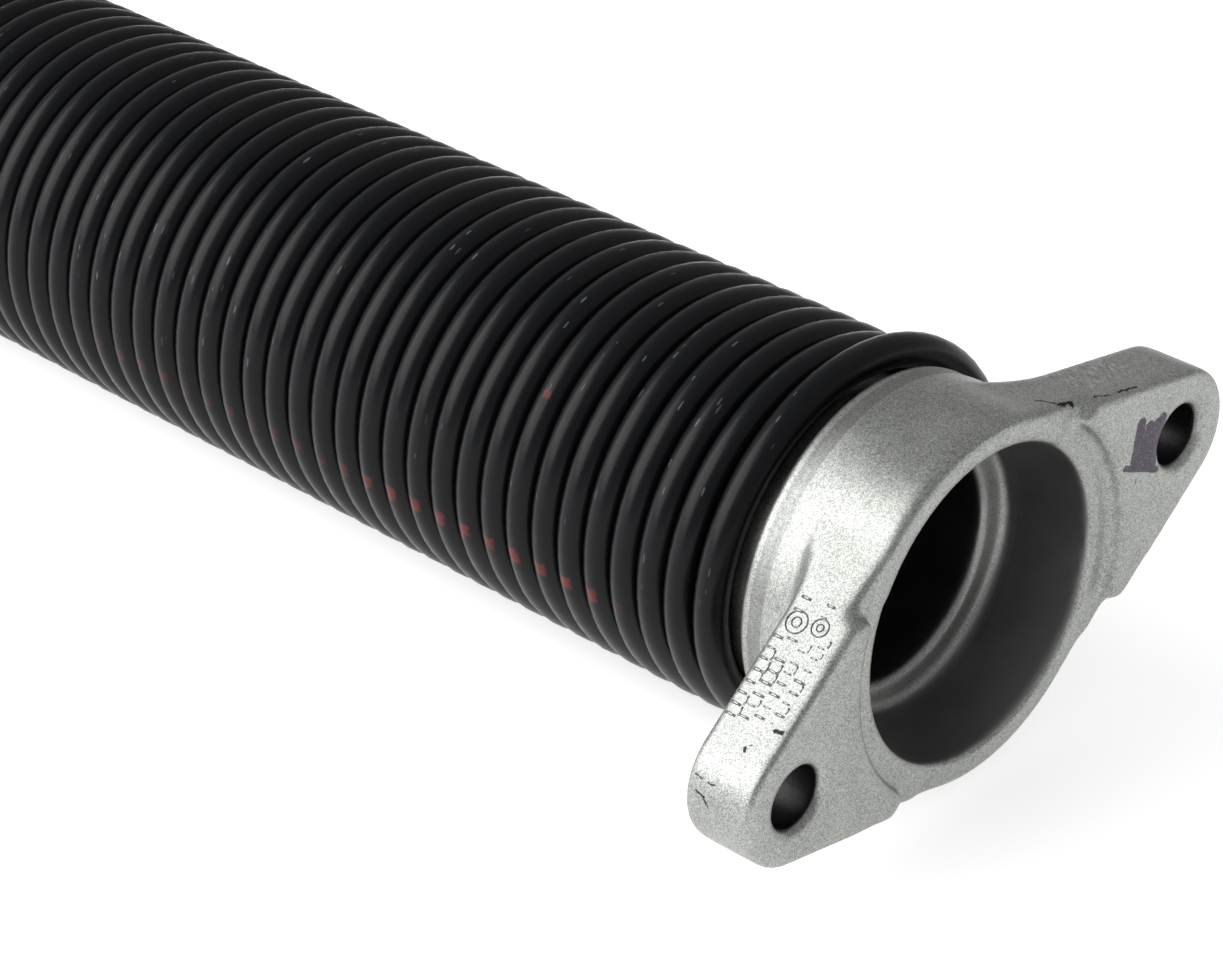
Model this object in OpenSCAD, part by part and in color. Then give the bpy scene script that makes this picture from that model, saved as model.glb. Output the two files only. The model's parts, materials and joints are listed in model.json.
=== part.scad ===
// Garage door torsion spring: a close-wound steel coil between two cast aluminium cones.
// X runs along the spring and points out of the bracket end, and Z is up. The origin is on
// the spring's axis, in the plane of the two ear faces that bolt to the bracket.

/* [Coil] */
// Diameter of the spring wire
wire_d = 5.26; // [5:0.01:5.6]
// Inside diameter of the coil
coil_id = 50.8; // [49.5:0.1:52]
// Gap left between one turn and the next
turn_gap = 0.08; // [0.04:0.01:0.4]
// Number of turns
turns = 100; // [20:1:120]
// Extra room that opens up over the first turns
end_opening = 0.6; // [0:0.05:1.5]
// How far the first half turn's centre springs out towards the wire's end
end_lift = 1.9; // [0:0.1:2.5]
// Gap between the first turn and the face that it starts from
coil_seat_gap = 0.07; // [0.03:0.01:0.3]
// Direction in which the wire starts, from +Y towards +Z
wire_start_angle = -20; // [-40:1:40]

/* [Stationary cone] */
// Diameter of the neck between the ears and the coil
neck_d = 58.8; // [57.5:0.1:61]
// Distance from the ear faces to the back of the neck
neck_length = 24; // [21:0.5:32]
// Radius of the neck's outer edges
neck_edge = 0.8; // [0.3:0.1:1.2]
// Depth of the shallow ring near the back of the neck
ring_depth = 0.5; // [0.2:0.05:1]
// Width of that ring
ring_w = 2.4; // [1.5:0.1:3]
// Width of the lip behind the ring
lip_w = 2.2; // [1.2:0.1:3]
// Length of the plug inside the coil
plug_length = 34; // [25:0.5:50]
// Radial clearance between a plug and the inside of the coil
plug_clearance = 0.15; // [0.05:0.01:0.4]
// Chamfer on a plug's leading edge
plug_lead = 1.5; // [0.5:0.1:3]
// Diameter of the way through for the shaft
passage_d = 37; // [32:0.1:40]

/* [Bearing pocket] */
// Diameter of the pocket at its mouth
pocket_mouth_d = 49.6; // [48.6:0.1:50.2]
// Diameter of the pocket at its floor
pocket_floor_d = 46; // [42:0.1:47.5]
// Depth of the pocket below the rim
pocket_depth = 15.2; // [10:0.1:18]
// Chamfer around the pocket's mouth
pocket_chamfer = 0.4; // [0.1:0.05:0.8]

/* [Rim] */
// Height of the ear faces above the rim
ear_step = 2.2; // [1:0.1:3.5]
// Gap between the neck's side and the foot of an ear's step
step_inset = 0.1; // [0:0.05:0.5]
// Half of the angle, seen from the axis, that an ear's raised face spans
face_half_angle = 36; // [30:1:39]
// Radius at the foot of an ear's step
step_foot_r = 1; // [0.3:0.1:1]
// Height of the raised pad on the rim
pad_h = 0.35; // [0.1:0.05:0.8]
// Half of the angle that the raised pad spans
pad_half_angle = 46; // [30:1:50]
// Depth of the recess on the other side of the rim
recess_depth = 0.4; // [0.1:0.05:0.8]
// Half of the angle that the recess spans
recess_half_angle = 41; // [25:1:48]
// Width of the lip between the pocket and the recess
recess_lip = 1.5; // [1:0.1:2.4]
// Radius of the recess's inner corners
recess_corner = 1; // [0.4:0.1:1.2]

/* [Ears] */
// Distance between the two bolt holes
hole_spacing = 88.1; // [84:0.1:94]
// Diameter of a bolt hole
bolt_hole_d = 9.8; // [8:0.1:11]
// Rounding around a bolt hole's mouth
bolt_hole_edge = 0.5; // [0.2:0.05:1]
// Radius of an ear's outer end
ear_end_r = 10.6; // [9:0.1:12]
// Thickness of an ear
ear_t = 12.2; // [9:0.1:14]
// How far an ear's sides run inside the neck's radius
ear_tuck = 0.4; // [0.4:0.1:2]
// Radius that blends an ear's side into the neck
ear_blend_r = 16; // [8:0.5:24]
// Radius between an ear's back and the neck
ear_root_r = 4; // [2:0.1:4.5]
// Tilt of the line through both ears
ear_tilt = 14.55; // [0:0.05:30]

/* [Winding cone] */
// Diameter of the collar that the coil's far end meets
collar_d = 58.8; // [57.5:0.1:61]
// Width of the collar
collar_w = 9; // [6:0.5:14]
// Length of the plug inside the coil
winding_plug_length = 34; // [25:0.5:50]
// Diameter of the hub
hub_d = 45; // [42:0.5:50]
// Length of the hub behind the collar
hub_length = 46; // [44:0.5:60]
// Diameter of the door's shaft
shaft_d = 25.4; // [24:0.1:26]
// Radial clearance around the shaft
shaft_clearance = 0.4; // [0.2:0.05:0.5]
// Chamfer at the outer end of the shaft bore
bore_chamfer = 0.8; // [0.3:0.1:1.5]

/* [Winding sockets] */
// Number of sockets
sockets = 4; // [4:1:4]
// Diameter of the winding bar
bar_d = 12.7; // [11:0.1:13]
// Radial clearance around the bar
bar_clearance = 0.2; // [0.1:0.05:0.4]
// Wall of a boss around its socket
socket_wall = 3.6; // [3:0.1:4.2]
// Distance from the axis to a boss's end
boss_reach = 34; // [33.5:0.5:40]
// Depth of a socket
socket_depth = 17.5; // [14:0.5:18]
// Distance from the collar to the centre of the bosses
boss_offset = 13.5; // [12.5:0.5:15]
// Direction of the first boss, from +Y towards +Z
boss_angle = 45; // [40:1:50]

/* [Set screws] */
// Thread diameter
screw_d = 9.525; // [8:0.005:10]
// Radial clearance between a screw and its hole
screw_clearance = 0.06; // [0.02:0.01:0.1]
// Length of the threaded shank
screw_length = 15.9; // [14:0.1:20]
// Depth of the cup in the screw's point
cup_depth = 1.2; // [0.5:0.1:2]
// Width of the rim around that cup
cup_rim = 1.4; // [1:0.1:2]
// Width of the square head across its flats
head_w = 9.7; // [9.6:0.1:11]
// Height of the square head
head_h = 7; // [5:0.1:9]
// Wall of a screw boss around its screw
screw_wall = 4.2; // [3:0.1:5]
// Distance from the axis to the end of a screw boss
screw_boss_reach = 24.5; // [23.6:0.1:26]
// Distance from the hub's end to the screws
screw_inset = 9.5; // [9.2:0.1:12]
// Gap between a screw's point and the shaft bore
screw_point_gap = 0.3; // [0.1:0.05:1]

/* [Hidden] */
arc_fn = 96;
over = 1;                                   // how far a cut or a lap runs past a face
hair = 0.02;                                // keeps arcs that would only touch crossing cleanly

// Coil
coil_r = coil_id/2 + wire_d/2;              // radius to the middle of the wire
pitch = wire_d + turn_gap;
half_turns = 2*turns;
open_half_turns = 3;
join_step = 0.01;                           // how much thinner every second half turn is
join_lap = 0.2;                             // angle that it laps into its neighbours
coil_start = -neck_length - wire_d/2 - coil_seat_gap;
function wire_x(k) =
  coil_start - k*pitch/2 - end_opening*min(k, open_half_turns)/open_half_turns;

// Stationary cone
neck_r = neck_d/2;
plug_r = coil_id/2 - plug_clearance;
rim_x = -ear_step;
pocket_floor_x = rim_x - pocket_depth;
plug_end = -neck_length - plug_length;
step_r = neck_r + step_inset;

// Outline of an ear, which lies along +x
hole_offset = hole_spacing/2;
waist_r = neck_r - ear_tuck;
side_angle = asin((waist_r - ear_end_r)/hole_offset);
normal_angle = 90 - side_angle;
blend_angle = normal_angle - acos((waist_r + ear_blend_r)/(neck_r + ear_blend_r));
blend_centre = polar(neck_r + ear_blend_r, blend_angle);

// Winding cone
collar_x = wire_x(half_turns) - wire_d/2 - coil_seat_gap;
collar_back = collar_x - collar_w;
hub_end = collar_back - hub_length;
boss_x = collar_back - boss_offset;
socket_r = bar_d/2 + bar_clearance;
boss_r = socket_r + socket_wall;
bore_r = shaft_d/2 + shaft_clearance;
screw_x = hub_end + screw_inset;
screw_hole_r = screw_d/2 + screw_clearance;
screw_boss_r = screw_d/2 + screw_wall;
screw_point = bore_r + screw_point_gap;

function polar(r, a) = [r*cos(a), r*sin(a)];

// Turns a profile about X. The profile's x is the radius and its y the place along X.
module lathe() rotate([90, 0, 90]) rotate_extrude($fn=arc_fn) children();

// Extrudes a drawing of the YZ plane from one place along X to another.
module slab(x0, x1) translate([x0, 0, 0]) rotate([90, 0, 90]) linear_extrude(x1 - x0) children();

// Points a child that stands along +Z outwards from the axis, at an angle from +Y.
module outwards(x, angle) translate([x, 0, 0]) rotate([angle, 0, 0]) rotate([-90, 0, 0]) children();

// One half turn of wire, a tilted half ring. It ends in the plane y = 0, square to Y, so
// half turns of any pitch join smoothly. lap is the angle that it reaches past each end, and
// lift widens the ring away from its far end, which stays where it is.
module half_turn(advance, d, lap, lift) {
  flat_r = coil_r + lift;
  ring_r = sqrt(flat_r*flat_r + advance*advance/4);
  tilt = atan(advance/2/flat_r);
  translate([0, 0, lift]) rotate([0, tilt - 90, 0]) rotate(-lap)
    rotate_extrude(angle=180 + 2*lap, $fn=arc_fn) translate([ring_r, 0]) circle(d=d, $fn=24);
}

// Every second half turn is a hair thinner and laps into its neighbours, which joins them all.
module spring_coil() color([0.09, 0.09, 0.1])
  rotate([wire_start_angle - 90, 0, 0]) mirror([0, 1, 0])
    for (k = [0:half_turns - 1])
      translate([(wire_x(k) + wire_x(k + 1))/2, 0, 0])
        rotate([k%2*180, 0, 0])
          half_turn(wire_x(k) - wire_x(k + 1), wire_d - k%2*join_step, k%2*join_lap, k == 0 ? end_lift : 0);

// Half of an ear, above its centre line
module half_ear() difference() {
  polygon([
    [0, 0],
    [hole_offset, 0],
    [hole_offset, 0] + polar(ear_end_r - hair, normal_angle),
    blend_centre - polar(ear_blend_r, normal_angle),
    blend_centre
  ]);
  translate(blend_centre) circle(r=ear_blend_r, $fn=arc_fn);
}

module ears_outline() for (turn = [0, 180]) rotate(turn) {
  translate([hole_offset, 0]) circle(r=ear_end_r, $fn=arc_fn);
  half_ear();
  mirror([0, 1]) half_ear();
}

// Cuts the ears back to the rim, with a rounded foot to their step and a radial end to their faces.
module rim_cut() {
  lathe() {
    translate([0, rim_x]) square([step_r - step_foot_r, ear_step + over]);
    translate([0, rim_x + step_foot_r]) square([step_r, ear_step - step_foot_r + over]);
    translate([step_r - step_foot_r, rim_x + step_foot_r]) circle(r=step_foot_r, $fn=arc_fn);
  }
  end = polar(2*neck_r, face_half_angle);
  for (turn = [0, 180])
    slab(rim_x, over) rotate(turn) polygon([[0, 0], end, [0, 3*neck_r], [-end.x, end.y]]);
}

module ears() difference() {
  slab(-ear_t, 0) ears_outline();
  rim_cut();
}

// Rounds the corner between the ears' backs and the neck.
module ear_roots() intersection() {
  slab(-ear_t - ear_root_r, over - ear_t) ears_outline();
  lathe() difference() {
    translate([0, -ear_t - ear_root_r]) square([neck_r + ear_root_r, ear_root_r + over]);
    translate([neck_r + ear_root_r, -ear_t - ear_root_r]) circle(r=ear_root_r, $fn=arc_fn);
  }
}

module neck_and_plug() lathe() polygon([
  [0, rim_x],
  [neck_r - neck_edge, rim_x],
  [neck_r, rim_x - neck_edge],
  [neck_r, -neck_length + lip_w + ring_w],
  [neck_r - ring_depth, -neck_length + lip_w + ring_depth],
  [neck_r, -neck_length + lip_w],
  [neck_r, -neck_length + neck_edge],
  [neck_r - neck_edge, -neck_length],
  [plug_r, -neck_length],
  [plug_r, plug_end + plug_lead],
  [plug_r - plug_lead/2, plug_end],
  [0, plug_end]
]);

module pocket_and_passage() lathe() polygon([
  [0, over],
  [pocket_mouth_d/2 + pocket_chamfer, over],
  [pocket_mouth_d/2 + pocket_chamfer, rim_x],
  [pocket_mouth_d/2, rim_x - pocket_chamfer],
  [pocket_floor_d/2, pocket_floor_x],
  [passage_d/2, pocket_floor_x],
  [passage_d/2, plug_end - over],
  [0, plug_end - over]
]);

// The middle stretch of a ring, both ways from +y by half_angle
module ring_stretch(r0, r1, half_angle) difference() {
  intersection() {
    circle(r=r1, $fn=arc_fn);
    polygon([[0, 0], polar(2*r1, 90 - half_angle), [0, 3*r1], polar(2*r1, 90 + half_angle)]);
  }
  circle(r=r0, $fn=arc_fn);
}

// The raised pad on the rim's upper side, with round ends
module rim_pad() slab(rim_x - neck_edge, rim_x + pad_h) {
  pad_r0 = pocket_mouth_d/2 + pocket_chamfer;
  pad_r1 = neck_r - neck_edge/2;
  pad_w = pad_r1 - pad_r0;
  ring_stretch(pad_r0, pad_r1, pad_half_angle);
  for (side = [-1, 1])
    rotate(90 + side*pad_half_angle) translate([pad_r0 + pad_w/2, 0]) circle(r=pad_w/2 - hair, $fn=arc_fn);
}

// The shallow recess on the rim's lower side, open outwards
module rim_recess() slab(rim_x - recess_depth, over) mirror([0, 1]) {
  recess_r = pocket_mouth_d/2 + recess_lip;
  corner_angle = asin(recess_corner/(recess_r + recess_corner));
  ring_stretch(recess_r, neck_r + over, recess_half_angle);
  for (side = [-1, 1])
    rotate(90 + side*(recess_half_angle - corner_angle/4)) translate([recess_r + recess_corner, 0]) {
      circle(r=recess_corner, $fn=arc_fn);
      translate([0, -recess_corner]) square([neck_r + over - recess_r - recess_corner, 2*recess_corner]);
    }
}

module bolt_hole() lathe() polygon([
  [0, over],
  [bolt_hole_d/2 + bolt_hole_edge, over],
  [bolt_hole_d/2 + bolt_hole_edge, 0],
  [bolt_hole_d/2, -bolt_hole_edge],
  [bolt_hole_d/2, -ear_t - ear_root_r - over],
  [0, -ear_t - ear_root_r - over]
]);

module stationary_cone() color([0.72, 0.73, 0.71])
  rotate([ear_tilt, 0, 0]) difference() {
    union() {
      neck_and_plug();
      ears();
      ear_roots();
      rim_pad();
    }
    pocket_and_passage();
    rim_recess();
    for (side = [-1, 1]) translate([0, side*hole_offset, 0]) bolt_hole();
  }

module collar_and_hub() lathe() {
  polygon([
    [0, collar_x + winding_plug_length],
    [plug_r - plug_lead/2, collar_x + winding_plug_length],
    [plug_r, collar_x + winding_plug_length - plug_lead],
    [plug_r, collar_x],
    [collar_d/2 - neck_edge, collar_x],
    [collar_d/2, collar_x - neck_edge],
    [collar_d/2, collar_back + neck_edge],
    [collar_d/2 - neck_edge, collar_back],
    [hub_d/2, collar_back],
    [hub_d/2, hub_end + neck_edge],
    [hub_d/2 - neck_edge, hub_end],
    [0, hub_end]
  ]);
}

module shaft_bore() lathe() polygon([
  [0, collar_x + winding_plug_length + over],
  [bore_r, collar_x + winding_plug_length + over],
  [bore_r, hub_end + bore_chamfer],
  [bore_r + bore_chamfer, hub_end],
  [bore_r + bore_chamfer, hub_end - over],
  [0, hub_end - over]
]);

module winding_cone() color([0.72, 0.73, 0.71]) difference() {
  union() {
    collar_and_hub();
    for (i = [0:sockets - 1])
      outwards(boss_x, boss_angle + i*360/sockets) cylinder(h=boss_reach, r=boss_r, $fn=arc_fn);
    for (side = [0, 180])
      outwards(screw_x, side) cylinder(h=screw_boss_reach, r=screw_boss_r, $fn=arc_fn);
  }
  shaft_bore();
  for (i = [0:sockets - 1])
    outwards(boss_x, boss_angle + i*360/sockets)
      translate([0, 0, boss_reach - socket_depth]) cylinder(h=socket_depth + over, r=socket_r, $fn=arc_fn);
  for (side = [0, 180])
    outwards(screw_x, side) cylinder(h=screw_boss_reach + over, r=screw_hole_r, $fn=arc_fn);
}

// A square-headed set screw, from its cup point at the origin up
module set_screw() color([0.6, 0.6, 0.62]) {
  rotate_extrude($fn=arc_fn) polygon([
    [0, cup_depth],
    [screw_d/2 - cup_rim, 0],
    [screw_d/2 - cup_rim/2, 0],
    [screw_d/2, cup_rim/2],
    [screw_d/2, screw_length],
    [0, screw_length]
  ]);
  translate([-head_w/2, -head_w/2, screw_length]) cube([head_w, head_w, head_h]);
}

module set_screw_1() outwards(screw_x, 0) translate([0, 0, screw_point]) set_screw();

module set_screw_2() outwards(screw_x, 180) translate([0, 0, screw_point]) set_screw();

spring_coil();
stationary_cone();
winding_cone();
set_screw_1();
set_screw_2();
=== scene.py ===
import json
import math
import bmesh
import bpy
import numpy as np
import openvdb
from mathutils import Matrix, Vector


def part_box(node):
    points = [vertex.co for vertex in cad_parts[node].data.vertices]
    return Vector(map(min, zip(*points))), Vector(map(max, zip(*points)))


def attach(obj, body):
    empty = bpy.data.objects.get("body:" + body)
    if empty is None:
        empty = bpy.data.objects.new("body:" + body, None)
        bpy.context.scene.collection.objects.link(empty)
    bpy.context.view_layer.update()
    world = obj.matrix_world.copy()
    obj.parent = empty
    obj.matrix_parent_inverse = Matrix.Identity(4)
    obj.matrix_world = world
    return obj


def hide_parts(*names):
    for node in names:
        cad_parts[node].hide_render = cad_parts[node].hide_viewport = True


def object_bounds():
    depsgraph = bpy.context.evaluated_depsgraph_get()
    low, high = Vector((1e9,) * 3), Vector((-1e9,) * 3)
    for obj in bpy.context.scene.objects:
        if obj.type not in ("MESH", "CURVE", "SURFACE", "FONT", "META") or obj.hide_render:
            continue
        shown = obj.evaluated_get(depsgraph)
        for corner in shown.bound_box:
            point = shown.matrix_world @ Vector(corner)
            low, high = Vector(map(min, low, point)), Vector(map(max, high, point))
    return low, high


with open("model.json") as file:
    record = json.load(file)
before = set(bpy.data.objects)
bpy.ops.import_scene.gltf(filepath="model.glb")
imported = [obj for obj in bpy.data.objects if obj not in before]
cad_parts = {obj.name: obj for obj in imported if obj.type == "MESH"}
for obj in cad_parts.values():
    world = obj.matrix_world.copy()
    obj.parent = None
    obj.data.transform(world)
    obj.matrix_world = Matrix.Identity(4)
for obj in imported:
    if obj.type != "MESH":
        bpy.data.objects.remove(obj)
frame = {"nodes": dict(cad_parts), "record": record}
cadBox = [list(corner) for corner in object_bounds()]
print("frame loaded")

mm = 0.001
axisX = Vector((1, 0, 0))

# places that several pieces share, read from the frame
mounts = {mount["name"]: mount for mount in frame["record"]["mounts"]}
facePlace = mounts["bracket_face"]["pos_m"]
earTilt = math.atan2(facePlace[2], facePlace[1])
holeOffset = mounts["bracket_bolts"]["dims"]["pcd_mm"] * mm / 2
floorHeight = cadBox[0][2]


view = {
    "azimuth": 46.471,        # degrees from +X towards -Y
    "elevation": 30.493,
    "distance": 0.5482,       # metres from the rim, along the line of sight
    "shiftRight": -0.0536,
    "shiftUp": 0.01814,
    "lens": 112.57,           # mm, for a sensor 36 mm wide
    "rim": -2.2 * mm,         # where the pocket's rim lies along X
}


def makeCamera():
    azimuth = math.radians(view["azimuth"])
    elevation = math.radians(view["elevation"])
    back = Vector((
        math.cos(elevation) * math.cos(azimuth),
        -math.cos(elevation) * math.sin(azimuth),
        math.sin(elevation),
    ))
    right = Vector((0, 0, 1)).cross(back).normalized()
    up = back.cross(right)
    data = bpy.data.cameras.new("camera")
    data.lens = view["lens"]
    data.sensor_width = 36
    data.clip_start = 0.01
    data.clip_end = 20
    camera = bpy.data.objects.new("camera", data)
    turn = Matrix((right, up, back)).transposed().to_4x4()
    place = back * view["distance"] + right * view["shiftRight"] + up * view["shiftUp"]
    camera.matrix_world = Matrix.Translation(place + axisX * view["rim"]) @ turn
    bpy.context.scene.collection.objects.link(camera)
    bpy.context.scene.camera = camera
    print("camera made")


makeCamera()


def putNode(tree, kind, inputs=None, **settings):
    node = tree.nodes.new(kind)
    for name, value in settings.items():
        setattr(node, name, value)
    for name, value in (inputs or {}).items():
        if isinstance(value, bpy.types.NodeSocket):
            tree.links.new(value, node.inputs[name])
        else:
            node.inputs[name].default_value = value
    return node


def calc(tree, operation, *values):
    return putNode(tree, "ShaderNodeMath", dict(enumerate(values)), operation=operation).outputs[0]


def times(tree, value, *others):
    for other in others:
        value = calc(tree, "MULTIPLY", value, other)
    return value


def plus(tree, first, second):
    return calc(tree, "ADD", first, second)


def minus(tree, first, second):
    return calc(tree, "SUBTRACT", first, second)


def hypotenuse(tree, first, second):
    return calc(tree, "SQRT", plus(tree, times(tree, first, first), times(tree, second, second)))


def ramp(tree, value, start, end, low=0.0, high=1.0):
    # a smooth step from low at start to high at end
    values = {"Value": value, "From Min": start, "From Max": end, "To Min": low, "To Max": high}
    return putNode(tree, "ShaderNodeMapRange", values, interpolation_type="SMOOTHSTEP").outputs["Result"]


def mixColour(tree, factor, first, second):
    node = putNode(tree, "ShaderNodeMix", {"Factor": factor}, data_type="RGBA")
    for socket, value in ((node.inputs[6], first), (node.inputs[7], second)):
        if isinstance(value, bpy.types.NodeSocket):
            tree.links.new(value, socket)
        else:
            socket.default_value = (*value, 1)
    return node.outputs[2]


def noise(tree, vector, scale, detail=2.0, roughness=0.5, shift=0.0):
    values = {"Vector": vector, "Scale": scale, "Detail": detail, "Roughness": roughness, "W": shift}
    return putNode(tree, "ShaderNodeTexNoise", values, noise_dimensions="4D").outputs["Fac"]


def strayed(tree, place, value, scale, reach, shift=0.0):
    # a value that wanders, so that a drawn line gets uneven
    stray = minus(tree, noise(tree, place, scale, 3.0, 0.6, shift), 0.5)
    return plus(tree, value, times(tree, stray, reach))


def newTree(treeKind, name, inputs, outputs):
    # each input is its name, its kind and, where it needs one, its value
    tree = bpy.data.node_groups.new(name, treeKind)
    for socket, kind, *value in inputs:
        made = tree.interface.new_socket(name=socket, in_out="INPUT", socket_type=kind)
        if value:
            made.default_value = value[0]
    for socket, kind in outputs:
        tree.interface.new_socket(name=socket, in_out="OUTPUT", socket_type=kind)
    return tree, tree.nodes.new("NodeGroupInput"), tree.nodes.new("NodeGroupOutput")


def placeGroup(tree, group, inputs):
    return putNode(tree, "ShaderNodeGroup", inputs, node_tree=group)


def newMaterial(name):
    material = bpy.data.materials.new(name)
    material.use_nodes = True
    return material, material.node_tree, material.node_tree.nodes["Principled BSDF"]


def meshPiece(name, mesh, material, body, slot, *replaced):
    piece = bpy.data.objects.new(name, mesh)
    bpy.context.scene.collection.objects.link(piece)
    if material is not None:
        mesh.materials.clear()
        mesh.materials.append(material)
    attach(piece, body)
    if replaced:
        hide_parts(*replaced)
    print(name, "made,", len(mesh.polygons), "faces")
    return piece


def runTree(tree, values):
    # evaluates a geometry tree on an empty mesh and keeps the result as a plain mesh
    holder = bpy.data.objects.new(tree.name + "Holder", bpy.data.meshes.new(tree.name + "Holder"))
    bpy.context.scene.collection.objects.link(holder)
    modifier = holder.modifiers.new(tree.name, "NODES")
    modifier.node_group = tree
    for item in tree.interface.items_tree:
        if item.in_out == "INPUT" and item.name in values:
            modifier[item.identifier] = values[item.name]
    holder.update_tag()
    shown = holder.evaluated_get(bpy.context.evaluated_depsgraph_get())
    mesh = bpy.data.meshes.new_from_object(shown)
    holder.modifiers.remove(modifier)
    bpy.data.objects.remove(holder)
    return mesh


def geometryTree(name, inputs):
    return newTree("GeometryNodeTree", name, inputs, [("Geometry", "NodeSocketGeometry")])


def finishTree(tree, source, result, geometry, smooth=True):
    # every geometry tree ends in real geometry with its material
    shaded = putNode(tree, "GeometryNodeSetShadeSmooth", {"Geometry": geometry, "Shade Smooth": smooth})
    real = putNode(tree, "GeometryNodeRealizeInstances", {"Geometry": shaded.outputs[0]})
    painted = putNode(tree, "GeometryNodeSetMaterial", {
        "Geometry": real.outputs[0], "Material": source.outputs["Material"]})
    tree.links.new(painted.outputs[0], result.inputs["Geometry"])


def makeSpecks():
    # scattered round specks, which are dashes where the vector is stretched
    tree, source, result = newTree("ShaderNodeTree", "scatteredSpecks", [
        ("Vector", "NodeSocketVector"), ("Scale", "NodeSocketFloat", 400.0),
        ("Share", "NodeSocketFloat", 0.1), ("Size", "NodeSocketFloat", 0.3),
        ("Seed", "NodeSocketFloat", 0.0)], [("Mask", "NodeSocketFloat")])
    get = source.outputs
    cells = putNode(tree, "ShaderNodeTexVoronoi", {
        "Vector": get["Vector"], "W": get["Seed"], "Scale": get["Scale"]}, voronoi_dimensions="4D")
    wobble = times(tree, minus(tree, noise(tree, get["Vector"], 1500.0, 3.0), 0.5), 0.5)
    near = calc(tree, "LESS_THAN", plus(tree, cells.outputs["Distance"], wobble), get["Size"])
    chance = putNode(tree, "ShaderNodeSeparateColor", {"Color": cells.outputs["Color"]}).outputs[0]
    chosen = calc(tree, "LESS_THAN", chance, get["Share"])
    tree.links.new(times(tree, near, chosen), result.inputs["Mask"])
    return tree


def makeGrain():
    # blasted metal: dense small facets of unequal shade, and their height
    tree, source, result = newTree("ShaderNodeTree", "blastedGrain", [
        ("Vector", "NodeSocketVector"), ("Scale", "NodeSocketFloat", 2600.0)],
        [("Shade", "NodeSocketFloat"), ("Height", "NodeSocketFloat")])
    vector, scale = source.outputs["Vector"], source.outputs["Scale"]
    fine = noise(tree, vector, scale, 2.0, 0.5)
    coarse = noise(tree, vector, times(tree, scale, 0.22), 3.0, 0.6, 3.0)
    cells = putNode(tree, "ShaderNodeTexVoronoi", {"Vector": vector, "Scale": scale}, voronoi_dimensions="3D")
    chance = putNode(tree, "ShaderNodeSeparateColor", {"Color": cells.outputs["Color"]}).outputs[0]
    blend = plus(tree, times(tree, fine, 0.25), times(tree, coarse, 0.30))
    tree.links.new(plus(tree, times(tree, chance, 0.45), blend), result.inputs["Shade"])
    height = plus(tree, times(tree, fine, 0.8), times(tree, coarse, 0.6))
    tree.links.new(height, result.inputs["Height"])
    return tree


specksGroup = makeSpecks()
grainGroup = makeGrain()


def partPlace(tree):
    # object coordinates, the distance from the spring's axis and the angle about it
    place = putNode(tree, "ShaderNodeTexCoord").outputs["Object"]
    x, y, z = putNode(tree, "ShaderNodeSeparateXYZ", {"Vector": place}).outputs
    return place, x, y, z, hypotenuse(tree, y, z), calc(tree, "ARCTAN2", z, y)


def addBump(tree, shader, height, strength, distance):
    bump = putNode(tree, "ShaderNodeBump", {"Height": height, "Strength": strength, "Distance": distance})
    tree.links.new(bump.outputs[0], shader.inputs["Normal"])


coil = {
    "wire": 5.26 * mm,
    "meanRadius": 28.03 * mm,
    "turns": 100,
    "startAngle": -20,         # degrees from +Y towards +Z
    "opening": 0.6 * mm,       # extra room over the first turns
    "openHalfTurns": 3,
    "endLift": 1.9 * mm,       # how far the first half turn's centre springs out
    "stepsPerTurn": 60,
    "sides": 16,
    "wander": 0.03 * mm,       # how far a turn strays along the axis
    "swell": 0.07 * mm,        # how far its radius strays
}

wireSkin = {
    "dark": (0.0020, 0.0026, 0.0034),
    "light": (0.0044, 0.0048, 0.0064),
    "rubbedAndGlint": (0.34, 0.36, 0.38),
    "dashes": 0.55,            # strength of the rubbed dashes and of the fine dust on the crests, both also painted glints of the highlight
    "dustAndGlint": 0.30,
    "stretch": 0.2,            # how much shorter patterns are across the wire than along it
    "roughness": 0.31,
    "specular": 0.19,
    "bump": 0.22,
}

stripe = {
    "angle": -168.6,           # degrees, a painted line along the coil that marks each turn
    "halfLength": 1.5 * mm,
    "colour": (0.125, 0.017, 0.013),
    "faintFrom": -185 * mm,
    "faint": 0.32,             # its strength before strongFrom
    "strongFrom": -100 * mm,
    "strongTo": -44 * mm,
    "drop": Vector((-66.9, -23.6, 19.5)) * mm,
    "dropRadius": 0.9 * mm,
}


def rubAndGlintMask(tree, place, wound, y, z, crest):
    # rubbed crests: thin dashes and a fine grey dust, in patches on the lit upper side, where they also stand
    # in as painted glints of the highlight
    dashes = placeGroup(tree, specksGroup, {
        "Vector": wound, "Scale": 520.0, "Share": 0.12, "Size": 0.17, "Seed": 1.3}).outputs[0]
    dustAndGlint = placeGroup(tree, specksGroup, {
        "Vector": wound, "Scale": 1900.0, "Share": 0.16, "Size": 0.32, "Seed": 4.1}).outputs[0]
    # only on the lit upper side, where the specks are painted glints as well as wear
    litUpperSide = times(tree, ramp(tree, z, -6 * mm, 12 * mm), ramp(tree, y, 12 * mm, -4 * mm))
    patches = ramp(tree, noise(tree, place, 55.0, 2.0, 0.5, 7.0), 0.44, 0.62)
    rubAndGlint = times(tree, crest, times(tree, litUpperSide, patches))
    return calc(tree, "MAXIMUM", times(tree, dashes, times(tree, rubAndGlint, wireSkin["dashes"])),
                times(tree, dustAndGlint, times(tree, rubAndGlint, wireSkin["dustAndGlint"])))


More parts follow.
